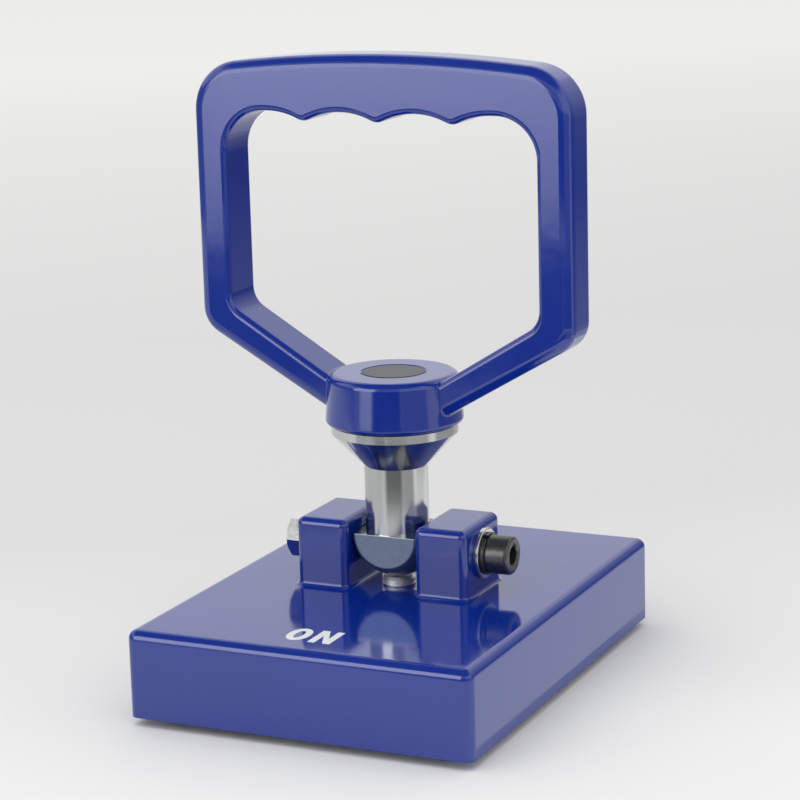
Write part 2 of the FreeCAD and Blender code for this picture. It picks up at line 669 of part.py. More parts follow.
def handle_outline(sketch):
    """Right half of the grip: crowned bar, round corners, sloping limb and a window with finger valleys."""
    half = value("size.handle_width / 2")
    inner = value(WINDOW_HALF)
    root = value("size.limb_root")
    top = value(f"{HUB_SEAT} + size.handle_height")
    grip = value(f"{HUB_SEAT} + size.grip_height")
    pitch = value(FINGER_PITCH)
    both = f"({FINGER_PITCH} ^ 2 / 4 + size.finger_depth ^ 2) / (2 * size.finger_depth)"
    valley_size = f"({both} - size.finger_ridge)"
    valley = value(valley_size)
    ridge = value("size.finger_ridge")
    ridge_y = grip - value("size.finger_depth") + ridge
    right = 0.0
    up = math.pi / 2
    down = -math.pi / 2

    def angle(start, end):
        return math.atan2(end.y - start.y, end.x - start.x)

    def arc(centre, radius, start, end):
        if end < start:
            end += 2 * math.pi
        return sketch.addGeometry(Part.ArcOfCircle(Part.Circle(centre, Z_AXIS, radius), start, end))

    def line(start, end):
        return sketch.addGeometry(Part.LineSegment(start, end))

    def inside(centre, big, x, small):
        """Centre at x of a small circle that touches a big one from inside, in its upper half."""
        return V(x, centre.y + math.sqrt((big - small) ** 2 - (x - centre.x) ** 2), 0)

    def elbow(x, height, slope, radius):
        """Centre and foot of the arc from an upright line at x to a line that slopes down from it."""
        centre = V(x - radius, height + radius * (1 - math.sin(slope)) / math.cos(slope), 0)
        return centre, centre + V(radius * math.sin(slope), -radius * math.cos(slope), 0)

    crown = value("size.crown_radius")
    crown_centre = V(0, top - crown, 0)
    shoulder = value("size.shoulder_radius")
    shoulder_centre = inside(crown_centre, crown, half - shoulder, shoulder)
    turn = angle(crown_centre, shoulder_centre)
    slope = math.radians(value("size.limb_slope"))
    knee = value("size.elbow_radius")
    knee_centre, knee_foot = elbow(half, value(LIMB_ELBOW), slope, knee)
    limb_end = V(root, knee_foot.y - (knee_foot.x - root) * math.tan(slope), 0)
    window_slope = math.radians(value("size.window_slope"))
    bend = value("size.window_elbow_radius")
    bend_centre, bend_foot = elbow(inner, value(WINDOW_ELBOW), window_slope, bend)
    window_end = V(root, bend_foot.y - (bend_foot.x - root) * math.tan(window_slope), 0)
    corner = value("size.window_radius")
    outer_valley = V(1.5 * pitch, grip - valley, 0)
    inner_valley = V(0.5 * pitch, grip - valley, 0)
    outer_ridge = V(pitch, ridge_y, 0)
    middle_ridge = V(0, ridge_y, 0)
    corner_centre = V(inner - corner, grip - corner, 0)

    crown_arc = arc(crown_centre, crown, turn, up)
    shoulder_arc = arc(shoulder_centre, shoulder, right, turn)
    side = line(V(half, shoulder_centre.y, 0), V(half, knee_centre.y, 0))
    knee_arc = arc(knee_centre, knee, slope + down, right)
    limb = line(limb_end, knee_foot)
    limb_root = line(limb_end, window_end)
    window_limb = line(window_end, bend_foot)
    bend_arc = arc(bend_centre, bend, window_slope + down, right)
    window_side = line(V(inner, bend_centre.y, 0), V(inner, corner_centre.y, 0))
    corner_arc = arc(corner_centre, corner, right, up)
    grip_run = line(V(corner_centre.x, grip, 0), V(outer_valley.x, grip, 0))
    outer_valley_arc = arc(outer_valley, valley, up, angle(outer_valley, outer_ridge))
    ridge_arc = arc(outer_ridge, ridge, angle(outer_ridge, inner_valley), angle(outer_ridge, outer_valley))
    inner_valley_arc = arc(inner_valley, valley,
                           angle(inner_valley, outer_ridge), angle(inner_valley, middle_ridge))
    half_ridge_arc = arc(middle_ridge, ridge, down, angle(middle_ridge, inner_valley))
    seam = line(V(0, ridge_y - ridge, 0), V(0, top, 0))

    smooth = [(crown_arc, 1, shoulder_arc, 2), (shoulder_arc, 1, side, 1), (side, 2, knee_arc, 2),
              (knee_arc, 1, limb, 2), (window_limb, 2, bend_arc, 1), (bend_arc, 2, window_side, 1),
              (window_side, 2, corner_arc, 1), (corner_arc, 2, grip_run, 1),
              (grip_run, 2, outer_valley_arc, 1), (outer_valley_arc, 2, ridge_arc, 2),
              (ridge_arc, 1, inner_valley_arc, 1), (inner_valley_arc, 2, half_ridge_arc, 2)]
    for places in smooth:
        sketch.addConstraint(Sketcher.Constraint("Tangent", *places))
    sharp = [(limb, 1, limb_root, 1), (limb_root, 2, window_limb, 1), (half_ridge_arc, 1, seam, 1),
             (seam, 2, crown_arc, 2)]
    for places in sharp:
        sketch.addConstraint(Sketcher.Constraint("Coincident", *places))
    for shape, point in ((crown_arc, 3), (half_ridge_arc, 3), (seam, 1), (seam, 2)):
        sketch.addConstraint(Sketcher.Constraint("PointOnObject", shape, point, -2))
    for shape in (side, window_side, limb_root):
        sketch.addConstraint(Sketcher.Constraint("Vertical", shape))
    sketch.addConstraint(Sketcher.Constraint("Horizontal", grip_run))

    for shape, radius in ((crown_arc, "size.crown_radius"), (shoulder_arc, "size.shoulder_radius"),
                          (knee_arc, "size.elbow_radius"), (bend_arc, "size.window_elbow_radius"),
                          (corner_arc, "size.window_radius"), (outer_valley_arc, valley_size),
                          (ridge_arc, "size.finger_ridge"), (inner_valley_arc, valley_size),
                          (half_ridge_arc, "size.finger_ridge")):
        rule(sketch, radius, "Radius", shape)
    pin(sketch, seam, 2, None, f"{HUB_SEAT} + size.handle_height")
    pin(sketch, side, 1, "size.handle_width / 2", None)
    pin(sketch, window_side, 1, WINDOW_HALF, None)
    rule(sketch, "size.limb_slope", "Angle", limb)
    rule(sketch, "size.window_slope", "Angle", window_limb)
    pin(sketch, limb, 1, "size.limb_root", f"{HUB_SEAT} + size.limb_foot")
    pin(sketch, window_limb, 1, None, f"{HUB_SEAT} + size.window_foot")
    pin(sketch, outer_valley_arc, 3, f"1.5 * {FINGER_PITCH}",
        f"{HUB_SEAT} + size.grip_height - {valley_size}")
    pin(sketch, ridge_arc, 3, FINGER_PITCH, None)
    pin(sketch, inner_valley_arc, 3, f"{FINGER_PITCH} / 2", None)


def make_handle():
    """One casting: the rounded grip frame on two limbs that run into the hub round the spigot."""
    body = new_body("handle_body")
    outline = sketch_on(body, "XZ_Plane", "handle_outline")
    handle_outline(outline)
    half = pad(body, outline, "right_half", "size.handle_thickness", SideType="Symmetric")
    mirrored(body, [half], "YZ_Plane", "both_halves")

    def at_face_rim(edge):
        box = edge.BoundBox
        on_face = box.YLength < TOUCH and near(abs(box.YMin), "size.handle_thickness / 2")
        return on_face and not (box.XLength < TOUCH and near(abs(box.XMin), "size.limb_root"))

    def metal_beyond(edge):
        """Whether a step away from the middle of the window leads from the edge into the casting."""
        place = edge.valueAt((edge.FirstParameter + edge.LastParameter) / 2)
        place.y = 0
        away = place - V(0, 0, value(f"{HUB_SEAT} + size.grip_height / 2"))
        step = away.normalize() * value("size.limb_width / 4")
        return half.Shape.isInside(V(abs(place.x), 0, place.z) + V(abs(step.x), 0, step.z), TOUCH, False)

    fillet(body, "window_edges", "size.window_round", lambda edge: at_face_rim(edge) and metal_beyond(edge))
    fillet(body, "grip_edges", "size.handle_round", lambda edge: (
        at_face_rim(edge) and not metal_beyond(edge)))

    hub = sketch_on(body, "XZ_Plane", "hub_profile")
    bore = "(size.spigot_diameter / 2 + size.press_fit)"
    edge = "size.spigot_edge"
    polygon(hub, [(bore, HUB_SEAT), ("size.hub_diameter / 2", HUB_SEAT),
                  ("size.hub_top_diameter / 2", HUB_TOP), (f"{bore} + {edge}", HUB_TOP),
                  (bore, f"{HUB_TOP} - {edge}")])
    seat_line, side_line, top_line = 0, 1, 2
    rounded(hub, seat_line, side_line, "size.hub_foot_round")
    rounded(hub, side_line, top_line, "size.hub_round")
    turned(body, hub, "hub")

    def at_limb_root(edge):
        box = edge.BoundBox
        in_hub = max(-box.XMin, box.XMax) < value("size.hub_diameter / 2")
        on_seam = max(-box.YMin, box.YMax) < TOUCH
        return in_hub and not on_seam and box.ZLength > TOUCH

    fillet(body, "limb_roots", "size.limb_round", at_limb_root)
    return node("handle", body)


make_housing()
make_magnet_plate()
make_plate_screws()
column_places = [f"{side}(size.column_first + {step} * size.column_pitch)"
                 for side, steps in (("-", (2, 1, 0)), ("", (0, 1, 2))) for step in steps]
for number, x in enumerate(column_places, start=1):
    make_magnet_column(number, x)

rod_bore = "(size.rod_diameter + 2 * size.running_fit)"
rod_bush = sleeve("rod_bush", rod_bore, f"({rod_bore} + 2 * size.rod_bush_wall)", "size.rod_bush_length")
move(rod_bush, z=BUSH_FOOT)
make_push_rod()
make_push_foot()
make_return_spring()

make_pivot_bolt()
make_bolt_washers()
make_pivot_nut()
make_stem()
knuckle_bush = sleeve("knuckle_bush", KNUCKLE_BORE, BUSH_OUTER, "size.knuckle_width")
along_x(knuckle_bush)
move(knuckle_bush, "-size.knuckle_width / 2", "0", PIVOT)
make_handle()

# Every feature has to be sound before any piece is written
doc.recompute()
for item in doc.Objects:
    if "Invalid" in item.State or "Error" in item.State:
        raise RuntimeError(f"{item.Name} failed: {item.State}")
for label, piece in NODES.items():
    if piece.Shape.isNull() or not piece.Shape.isValid() or not piece.Shape.Solids:
        raise RuntimeError(f"{label} has no sound solid")

os.makedirs("parts", exist_ok=True)
for label, piece in NODES.items():
    piece.Shape.exportStep(f"parts/{label}.step")
    box = piece.Shape.optimalBoundingBox(False)
    print(f"{label}: {len(piece.Shape.Solids)} solid(s), {piece.Shape.Volume / 1000:.2f} cm3, "
          f"x {box.XMin:.2f} to {box.XMax:.2f}, y {box.YMin:.2f} to {box.YMax:.2f}, "
          f"z {box.ZMin:.2f} to {box.ZMax:.2f}")
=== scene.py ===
# %% [markdown]
# # A hand-held permanent magnetic lifter
# A blue block with round magnets below, and a blue looped grip on a chrome stem that tilts on a bolt.
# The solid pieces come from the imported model, in metres, standing on z = 0. This lesson gives them
# their paint, plating and small details, and lights them like a product photograph.

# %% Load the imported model
import json
import math

import bmesh
import bpy
import numpy as np
from mathutils import Matrix, Vector


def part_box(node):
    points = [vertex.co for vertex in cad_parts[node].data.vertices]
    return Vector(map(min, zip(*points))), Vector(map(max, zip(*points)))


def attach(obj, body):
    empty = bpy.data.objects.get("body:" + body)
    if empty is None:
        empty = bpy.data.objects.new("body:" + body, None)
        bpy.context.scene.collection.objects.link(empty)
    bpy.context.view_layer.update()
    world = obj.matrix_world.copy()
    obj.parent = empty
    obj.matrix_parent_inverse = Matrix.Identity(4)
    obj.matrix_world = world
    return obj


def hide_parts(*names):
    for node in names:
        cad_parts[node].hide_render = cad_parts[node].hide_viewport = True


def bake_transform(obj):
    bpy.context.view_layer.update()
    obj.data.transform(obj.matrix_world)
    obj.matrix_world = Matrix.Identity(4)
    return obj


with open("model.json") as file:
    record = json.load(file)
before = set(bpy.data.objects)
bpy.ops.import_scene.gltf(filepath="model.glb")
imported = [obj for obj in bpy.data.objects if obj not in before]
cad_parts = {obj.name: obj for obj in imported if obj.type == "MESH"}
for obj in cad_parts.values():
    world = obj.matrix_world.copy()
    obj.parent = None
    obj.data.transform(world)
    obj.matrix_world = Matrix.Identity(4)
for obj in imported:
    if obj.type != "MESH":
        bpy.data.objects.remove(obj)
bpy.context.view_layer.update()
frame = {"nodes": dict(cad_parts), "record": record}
MM = 0.001

# %% [markdown]
# ## Camera
# The photograph was taken from the right of the front and a little above, with a long lens. Blender can
# aim a camera with a constraint, but here its place is worked out from two angles and a distance, so
# that the view can be read and changed in plain numbers. The small roll tilts the picture as the
# photograph is.

# %% Place the camera
VIEW_RIGHT = math.radians(25.099)
VIEW_ABOVE = math.radians(12.693)
VIEW_ROLL = math.radians(-1.571)
VIEW_DISTANCE = 859.9 * MM
VIEW_TARGET = Vector((2.07, 0.0, 94.67)) * MM
LENS_IN_PICTURE_WIDTHS = 3.25086
SENSOR_WIDTH = 36.0
NEAREST_SEEN = 50.0 * MM

outward = math.cos(VIEW_ABOVE)
back = Vector((math.sin(VIEW_RIGHT) * outward, -math.cos(VIEW_RIGHT) * outward, math.sin(VIEW_ABOVE)))
level = Vector((math.cos(VIEW_RIGHT), math.sin(VIEW_RIGHT), 0.0))
above = back.cross(level)
right = level * math.cos(VIEW_ROLL) + above * math.sin(VIEW_ROLL)
up = above * math.cos(VIEW_ROLL) - level * math.sin(VIEW_ROLL)

lens = bpy.data.cameras.new("camera")
lens.sensor_width = SENSOR_WIDTH
lens.lens = LENS_IN_PICTURE_WIDTHS * SENSOR_WIDTH
lens.clip_start = NEAREST_SEEN
camera = bpy.data.objects.new("camera", lens)
facing = Matrix((right, up, back)).transposed().to_4x4()
camera.matrix_world = Matrix.Translation(VIEW_TARGET + back * VIEW_DISTANCE) @ facing
bpy.context.scene.collection.objects.link(camera)
bpy.context.scene.camera = camera
camera_place = [round(x, 3) for x in camera.matrix_world.translation]
print("camera at", camera_place, "with a lens of", round(lens.lens, 1), "mm")

# %% [markdown]
# ## Surfaces
# Every new piece of this lesson is a grid of points worked out with numpy. Blender's own primitives and
# operators could build the same shapes step by step, each with its selection and its mode. A whole
# array of points goes into a mesh in one call instead, and the object stays at the origin, so that the
# numbers of a point are its real place.

# %% Define the surface helpers


def surface(name, points, faces):
    """A mesh object at the origin from a whole array of points and a list of faces."""
    mesh = bpy.data.meshes.new(name)
    mesh.from_pydata(np.reshape(points, (-1, 3)).tolist(), [], faces)
    mesh.update()
    piece = bpy.data.objects.new(name, mesh)
    bpy.context.scene.collection.objects.link(piece)
    return piece


def grid_faces(rows, columns, ring=False, tube=False):
    """The faces between the points of a grid that are counted row by row: each joins a point, the next
    one in its row, and the same two of the next row. In a ring the last row joins the first, in a tube
    the last column does."""
    row, column = np.meshgrid(
        np.arange(rows if ring else rows - 1), np.arange(columns if tube else columns - 1), indexing="ij")
    this_row = row * columns
    next_row = (row + 1) % rows * columns
    beside = (column + 1) % columns
    corners = [this_row + column, this_row + beside, next_row + beside, next_row + column]
    return np.stack(corners, axis=-1).reshape(-1, 4).tolist()


def level_sheet(name, low, high, height):
    """A level rectangle between two corners: a grid of two points by two."""
    x, y = np.meshgrid((low[0], high[0]), (low[1], high[1]))
    return surface(name, np.stack([x, y, np.full_like(x, height)], axis=-1), grid_faces(2, 2))


print("helpers for surfaces ready")

# %% [markdown]
# ## Finishes from nodes
# A finish could be a picture that is unwrapped onto the piece. Here each finish is one shader, with
# small irregularities worked out from the object's own coordinates, so it needs no picture, shows no
# seam and moves with its piece. Each of these helpers adds one step to a material's tree of nodes.

# %% Define the finish helpers


def plain_finish(name, **sockets):
    """A material whose one shader has these constant settings, with its node tree and that shader."""
    material = bpy.data.materials.new(name)
    material.use_nodes = True
    shader = material.node_tree.nodes["Principled BSDF"]
    for socket, constant in sockets.items():
        shader.inputs[socket.replace("_", " ")].default_value = constant
    return material, material.node_tree, shader


def noise(tree, scale, detail=2.0, times=(1.0, 1.0, 1.0)):
    """Smooth random values from 0 to 1 in the object's own space: this many features to a metre, and so
    many times more along each axis."""
    place = tree.nodes.new("ShaderNodeTexCoord")
    crowded = tree.nodes.new("ShaderNodeMapping")
    crowded.inputs["Scale"].default_value = times
    texture = tree.nodes.new("ShaderNodeTexNoise")
    texture.inputs["Scale"].default_value = scale
    texture.inputs["Detail"].default_value = detail
    tree.links.new(place.outputs["Object"], crowded.inputs["Vector"])
    tree.links.new(crowded.outputs["Vector"], texture.inputs["Vector"])
    return texture.outputs["Fac"]


def spread(tree, values, low, high, start=0.3, end=0.7):
    """Values between start and end taken to a range from low to high. Most of a noise lies between 0.3
    and 0.7, so that is where start and end usually are."""
    span = tree.nodes.new("ShaderNodeMapRange")
    span.inputs["From Min"].default_value = start
    span.inputs["From Max"].default_value = end
    span.inputs["To Min"].default_value = low
    span.inputs["To Max"].default_value = high
    tree.links.new(values, span.inputs["Value"])
    return span.outputs["Result"]


def ramp(tree, axis, start, end):
    """0 up to one place along an axis of the object's own space, 1 past another, and even between
    them."""
    place = tree.nodes.new("ShaderNodeTexCoord")
    parts = tree.nodes.new("ShaderNodeSeparateXYZ")
    tree.links.new(place.outputs["Object"], parts.inputs[0])
    return spread(tree, parts.outputs[axis], 0.0, 1.0, start, end)


def between(tree, values, first, second):
    """A colour between two, by values from 0 to 1. Either may be three numbers or another node's
    colour."""
    mix = tree.nodes.new("ShaderNodeMix")
    mix.data_type = "RGBA"
    for name, colour in (("A", first), ("B", second)):
        if isinstance(colour, tuple):
            mix.inputs[name].default_value = (*colour, 1.0)
        else:
            tree.links.new(colour, mix.inputs[name])
    tree.links.new(values, mix.inputs["Factor"])
    return mix.outputs["Result"]


def relief(tree, shader, heights, depth):
    """Bumps whose heights run from 0 to this depth in metres."""
    bump = tree.nodes.new("ShaderNodeBump")
    bump.inputs["Distance"].default_value = depth
    tree.links.new(heights, bump.inputs["Height"])
    tree.links.new(bump.outputs["Normal"], shader.inputs["Normal"])


print("helpers for finishes ready")

# %% [markdown]
# ## Studio floor
# The floor is one large pale sheet that fills the picture behind the object too. A plane from the Add
# menu would do, and so do four points and one face. Under the lamps it is a little darker behind the
# object than before it, and pale again further off. Two gradients along its depth give that without any
# more lamps. The sheet is turned, so that its depth runs from the near right to the far left.

# %% Lay the floor
FLOOR_HALF = 6.0
FLOOR_TURN = math.radians(38.0)
FLOOR_FRONT = (0.91, 0.91, 0.90)
FLOOR_SHADE = (0.76, 0.76, 0.755)
FLOOR_FAR = (0.98, 0.98, 0.97)
FLOOR_ROUGHNESS = 0.9
SHADE_FROM, SHADE_FULL, SHADE_UNTIL, SHADE_GONE = -0.10, 0.20, 0.6, 2.2

floor = level_sheet("floor", (-FLOOR_HALF, -FLOOR_HALF), (FLOOR_HALF, FLOOR_HALF), 0.0)
floor.rotation_euler.z = FLOOR_TURN
floor_finish, tree, shader = plain_finish(
    "floor_sheet", Roughness=FLOOR_ROUGHNESS, Specular_IOR_Level=0.0)
shaded = between(tree, ramp(tree, "Y", SHADE_FROM, SHADE_FULL), FLOOR_FRONT, FLOOR_SHADE)
pale_again = between(tree, ramp(tree, "Y", SHADE_UNTIL, SHADE_GONE), shaded, FLOOR_FAR)
tree.links.new(pale_again, shader.inputs["Base Color"])
floor.data.materials.append(floor_finish)
print("floor", 2 * FLOOR_HALF, "m square")

# %% [markdown]
# ## Room
# Gloss paint and chrome show their surroundings, so the surroundings are most of their look. A panorama
# picture is the usual world, but a few nodes do here. They answer three questions with numbers: how
# bright the room looks, how much it lights dull surfaces, and what a mirror sees in it. The mirror sees
# a pale band round the horizon, higher at the back, and a dark ceiling. That ceiling gives the rounded
# edges a dark line above their bright one.

# %% Shade the room that mirrors see
ROOM_BAND = 1.0
ROOM_CEILING = 0.10
BAND_END = 0.58
CEILING_FROM = 0.85
BAND_LEAN = 0.2

room = bpy.data.worlds.new("room")
bpy.context.scene.world = room
room.use_nodes = True
tree = room.node_tree
direction = tree.nodes.new("ShaderNodeTexCoord")
split = tree.nodes.new("ShaderNodeSeparateXYZ")
tree.links.new(direction.outputs["Generated"], split.inputs[0])
leaning = tree.nodes.new("ShaderNodeMath")
leaning.operation = "MULTIPLY_ADD"
leaning.inputs[1].default_value = -BAND_LEAN
tree.links.new(split.outputs["Y"], leaning.inputs[0])
tree.links.new(split.outputs["Z"], leaning.inputs[2])
mirrored = spread(tree, leaning.outputs["Value"], ROOM_BAND, ROOM_CEILING, BAND_END, CEILING_FROM)
mirrored.node.interpolation_type = "SMOOTHSTEP"
print("in mirrors the room goes from", ROOM_BAND, "at the horizon to", ROOM_CEILING, "above")

# %% Fill the room with light
ROOM_SEEN = 0.85
ROOM_FILL = 0.84
WHITE = (1.0, 1.0, 1.0, 1.0)

ray = tree.nodes.new("ShaderNodeLightPath")
lit = tree.nodes.new("ShaderNodeMix")
lit.inputs["A"].default_value = ROOM_FILL
tree.links.new(ray.outputs["Is Glossy Ray"], lit.inputs["Factor"])
tree.links.new(mirrored, lit.inputs["B"])
shown = tree.nodes.new("ShaderNodeMix")
shown.inputs["B"].default_value = ROOM_SEEN
tree.links.new(ray.outputs["Is Camera Ray"], shown.inputs["Factor"])
tree.links.new(lit.outputs["Result"], shown.inputs["A"])
tree.links.new(shown.outputs["Result"], tree.nodes["Background"].inputs["Strength"])
tree.nodes["Background"].inputs["Color"].default_value = WHITE
bpy.context.scene.view_settings.view_transform = "Standard"
print("the room looks", ROOM_SEEN, "bright and lights dull surfaces with", ROOM_FILL)

# %% [markdown]
# ## Key light
# The light that shades things and the light that mirrors show are set apart. One large square lamp
# above the front, a little to the left, gives the soft shadow. A point lamp would be simpler, but its
# shadow is hard. The lamp is hidden from reflections, because the next steps give the mirrors something
# better to show. Its power is worked out from how bright its face is: that brightness times pi times
# the face's area.

# %% Hang the key light
KEY_BRIGHTNESS = 0.75
KEY_SIZE = 2.0
KEY_PLACE = Vector((-0.30, -0.95, 1.6))

key = bpy.data.lights.new("key", "AREA")
key.shape = "SQUARE"
key.size = KEY_SIZE
key.energy = KEY_BRIGHTNESS * math.pi * KEY_SIZE ** 2
lamp = bpy.data.objects.new("key", key)
aim = (-KEY_PLACE).to_track_quat("-Z", "Y").to_matrix().to_4x4()
lamp.matrix_world = Matrix.Translation(KEY_PLACE) @ aim
lamp.visible_glossy = False
bpy.context.scene.collection.objects.link(lamp)
print("key light of", round(key.energy, 2), "watts at", list(KEY_PLACE))

# %% [markdown]
# ## Cards for the reflections
# A shiny object is photographed between white and black cards, which shape what it mirrors. Lamps could
# stand there, but they would light the floor as well. These cards are sheets that only reflections see.
# Every point of a card keeps its own brightness and its own cover. So one material serves them all, and
# a card can fade out at its ends, where a hard edge would draw a line on the round stem.

# %% Make the glow that the cards share
card_glow = bpy.data.materials.new("card_glow")
card_glow.use_nodes = True
nodes, links = card_glow.node_tree.nodes, card_glow.node_tree.links
shine = nodes.new("ShaderNodeEmission")
clear = nodes.new("ShaderNodeBsdfTransparent")
fading = nodes.new("ShaderNodeMixShader")
for quality, socket in (("brightness", shine.inputs["Strength"]), ("cover", fading.inputs["Fac"])):
    kept = nodes.new("ShaderNodeAttribute")
    kept.attribute_name = quality
    links.new(kept.outputs["Fac"], socket)
links.new(clear.outputs[0], fading.inputs[1])
links.new(shine.outputs[0], fading.inputs[2])
links.new(fading.outputs[0], nodes["Material Output"].inputs["Surface"])
card_glow.cycles.emission_sampling = "NONE"
print("one glow for all cards:", card_glow.name)

# %% Define a card
CARD_ROWS = 2
CARD_STEPS = 49


def only_in_mirrors(card, **qualities):
    """Keep a brightness and a cover at every point of a card, and let only reflections see it."""
    for quality, values in qualities.items():
        kept = card.data.attributes.new(quality, "FLOAT", "POINT")
        kept.data.foreach_set("value", np.ravel(values))
    card.data.materials.append(card_glow)
    card.visible_camera = False
    card.visible_diffuse = False
    card.visible_shadow = False


def curved_card(name, turn, reach, height, glow, fade):
    """A grid in two numbers: the share of the way from foot to top, and the angle from the front in
    degrees. A point lies at its reach from the middle, in the direction of its angle. Reach, height and
    glow each go evenly from a first to a second value with the share, and the card fades out over the
    last degrees at both ends of its turn."""
    share, angle = np.meshgrid(
        np.linspace(0, 1, CARD_ROWS), np.linspace(*turn, CARD_STEPS), indexing="ij")
    away, level, brightness = (foot + (top - foot) * share for foot, top in (reach, height, glow))
    sideways = away * np.sin(np.radians(angle))
    forward = away * np.cos(np.radians(angle))
    cover = np.clip(np.minimum(angle - turn[0], turn[1] - angle) / fade, 0, 1)
    points = np.stack([sideways, -forward, level], axis=-1)
    card = surface(name, points, grid_faces(CARD_ROWS, CARD_STEPS))
    only_in_mirrors(card, brightness=brightness, cover=cover)


print("cards have", CARD_ROWS, "by", CARD_STEPS, "points")

# %% [markdown]
# ## Where the cards stand
# In front, a panel that brightens upwards draws the pale sheen on the grip bar, and the soft box above
# it draws the thin bright line on every rounded edge. Dark cloths and screens below and beside them
# keep that line thin and the upright faces deep blue, and the near cloth is the dark band down the
# chrome stem. Paler cloths on both sides, the wall at the back and a pale sheet beside the block lift
# the faces that turn to them. They could all be one painted dome, but single cards can be moved one at
# a time.

# %% Set up the cards
FLOOR_LAYER = (0.001, 0.001)
SECOND_LAYER = (0.002, 0.002)
THIRD_LAYER = (0.003, 0.003)
SHEET_NEAR = (0.066, -0.10)
SHEET_FAR = (0.17, 0.42)
SHEET_GLOW = 0.95

# Turn from the front in degrees; reach, height and glow from foot to top; fade in degrees
CARDS = {
    "near_left_cloth": ((-160, -20), (0.20, 0.34), FLOOR_LAYER, (0.64, 0.64), 8.0),
    "near_cloth": ((-24, 56), (0.22, 0.34), SECOND_LAYER, (0.05, 0.08), 16.0),
    "near_right_cloth": ((44, 92), (0.20, 0.34), THIRD_LAYER, (0.38, 0.38), 8.0),
    "mid_cloth": ((-50, 10), (0.35, 0.45), FLOOR_LAYER, (0.40, 0.40), 4.0),
    "mid_right_cloth": ((6, 87), (0.34, 0.55), FLOOR_LAYER, (0.43, 0.75), 4.0),
    "front_cloth": ((-50, 10), (0.46, 0.93), FLOOR_LAYER, (0.10, 0.10), 4.0),
    "far_cloth": ((6, 87), (0.55, 0.93), FLOOR_LAYER, (0.12, 0.12), 4.0),
    "back_cloth": ((98, 174), (0.30, 1.20), FLOOR_LAYER, (0.42, 0.10), 4.0),
    "back_wall": ((98, 174), (1.20, 1.20), (0.0, 0.90), (0.10, 0.90), 4.0),
    "front_panel": ((-38, -10), (0.95, 0.95), (0.0, 0.21), (1.2, 3.6), 6.0),
    "soft_box": ((-48, -5), (1.0, 1.0), (0.21, 0.69), (3.0, 3.0), 6.0),
    "low_screen": ((-18, 37), (1.05, 1.05), (0.0, 0.21), (0.06, 0.06), 4.0),
    "left_screen": ((-127, -43), (1.06, 1.06), (0.0, 0.42), (0.25, 0.25), 4.0),
    "front_screen": ((-47, 37), (1.07, 1.07), (0.0, 0.75), (0.50, 0.50), 4.0),
    "right_panel": ((33, 83), (0.95, 0.95), (0.0, 0.21), (0.35, 0.35), 4.0),
}
for name, places in CARDS.items():
    curved_card(name, *places)
right_sheet = level_sheet("right_sheet", SHEET_NEAR, SHEET_FAR, FLOOR_LAYER[0])
corner_count = len(right_sheet.data.vertices)
only_in_mirrors(right_sheet, brightness=np.full(corner_count, SHEET_GLOW), cover=np.ones(corner_count))
print(len(CARDS), "curved cards and one level sheet that only reflections see")

# %% [markdown]
# ## Paint, bright metal and dull coats
# The object has three kinds of finish, and they differ in what their noise drives. Enamel flows, so its
# shade and its gloss change slowly. Metal shows the marks of the tool, so its noise lies closer across
# the cut than along it. A dull coat has a fine even grain. Each material could be set by hand, but a
# function for each kind keeps what makes it that kind in one place.

# %% Define the kinds of finish
ENAMEL_INDEX = 1.75
ENAMEL_ROUGHNESS = (0.07, 0.12)
ENAMEL_SHADES = 30
ENAMEL_GLOSSES = 90
ENAMEL_PEEL = 160
PEEL_DETAIL = 1.0
FINE_DETAIL = 3.0
COAT_INDEX = 1.5
COAT_SHADES = 120
COAT_GRAIN = 900


def gloss_paint(name, deep, light, peel):
    """Glossy enamel: slow changes of shade, a little uneven gloss and orange peel of this depth."""
    material, tree, shader = plain_finish(name, IOR=ENAMEL_INDEX)
    shade = between(tree, noise(tree, ENAMEL_SHADES), deep, light)
    gloss = spread(tree, noise(tree, ENAMEL_GLOSSES), *ENAMEL_ROUGHNESS)
    tree.links.new(shade, shader.inputs["Base Color"])
    tree.links.new(gloss, shader.inputs["Roughness"])
    relief(tree, shader, noise(tree, ENAMEL_PEEL, PEEL_DETAIL), peel)
    return material


def bright_metal(name, dark, bright, roughness, scale, times, depth):
    """Bright metal: tone, gloss and fine tool marks all follow one noise."""
    material, tree, shader = plain_finish(name, Metallic=1.0)
    marks = noise(tree, scale, FINE_DETAIL, times)
    tree.links.new(between(tree, marks, dark, bright), shader.inputs["Base Color"])
    tree.links.new(spread(tree, marks, *roughness), shader.inputs["Roughness"])
    relief(tree, shader, marks, depth)
    return material


def dull_coat(name, dark, light, roughness, depth, index=COAT_INDEX):
    """A coat that hardly shines, with fine grain and this refractive index."""
    material, tree, shader = plain_finish(name, IOR=index)
    grain = noise(tree, COAT_GRAIN, FINE_DETAIL)
    tree.links.new(between(tree, noise(tree, COAT_SHADES), dark, light), shader.inputs["Base Color"])
    tree.links.new(spread(tree, grain, *roughness), shader.inputs["Roughness"])
    relief(tree, shader, grain, depth)
    return material


print("enamel, bright metal and dull coat defined")
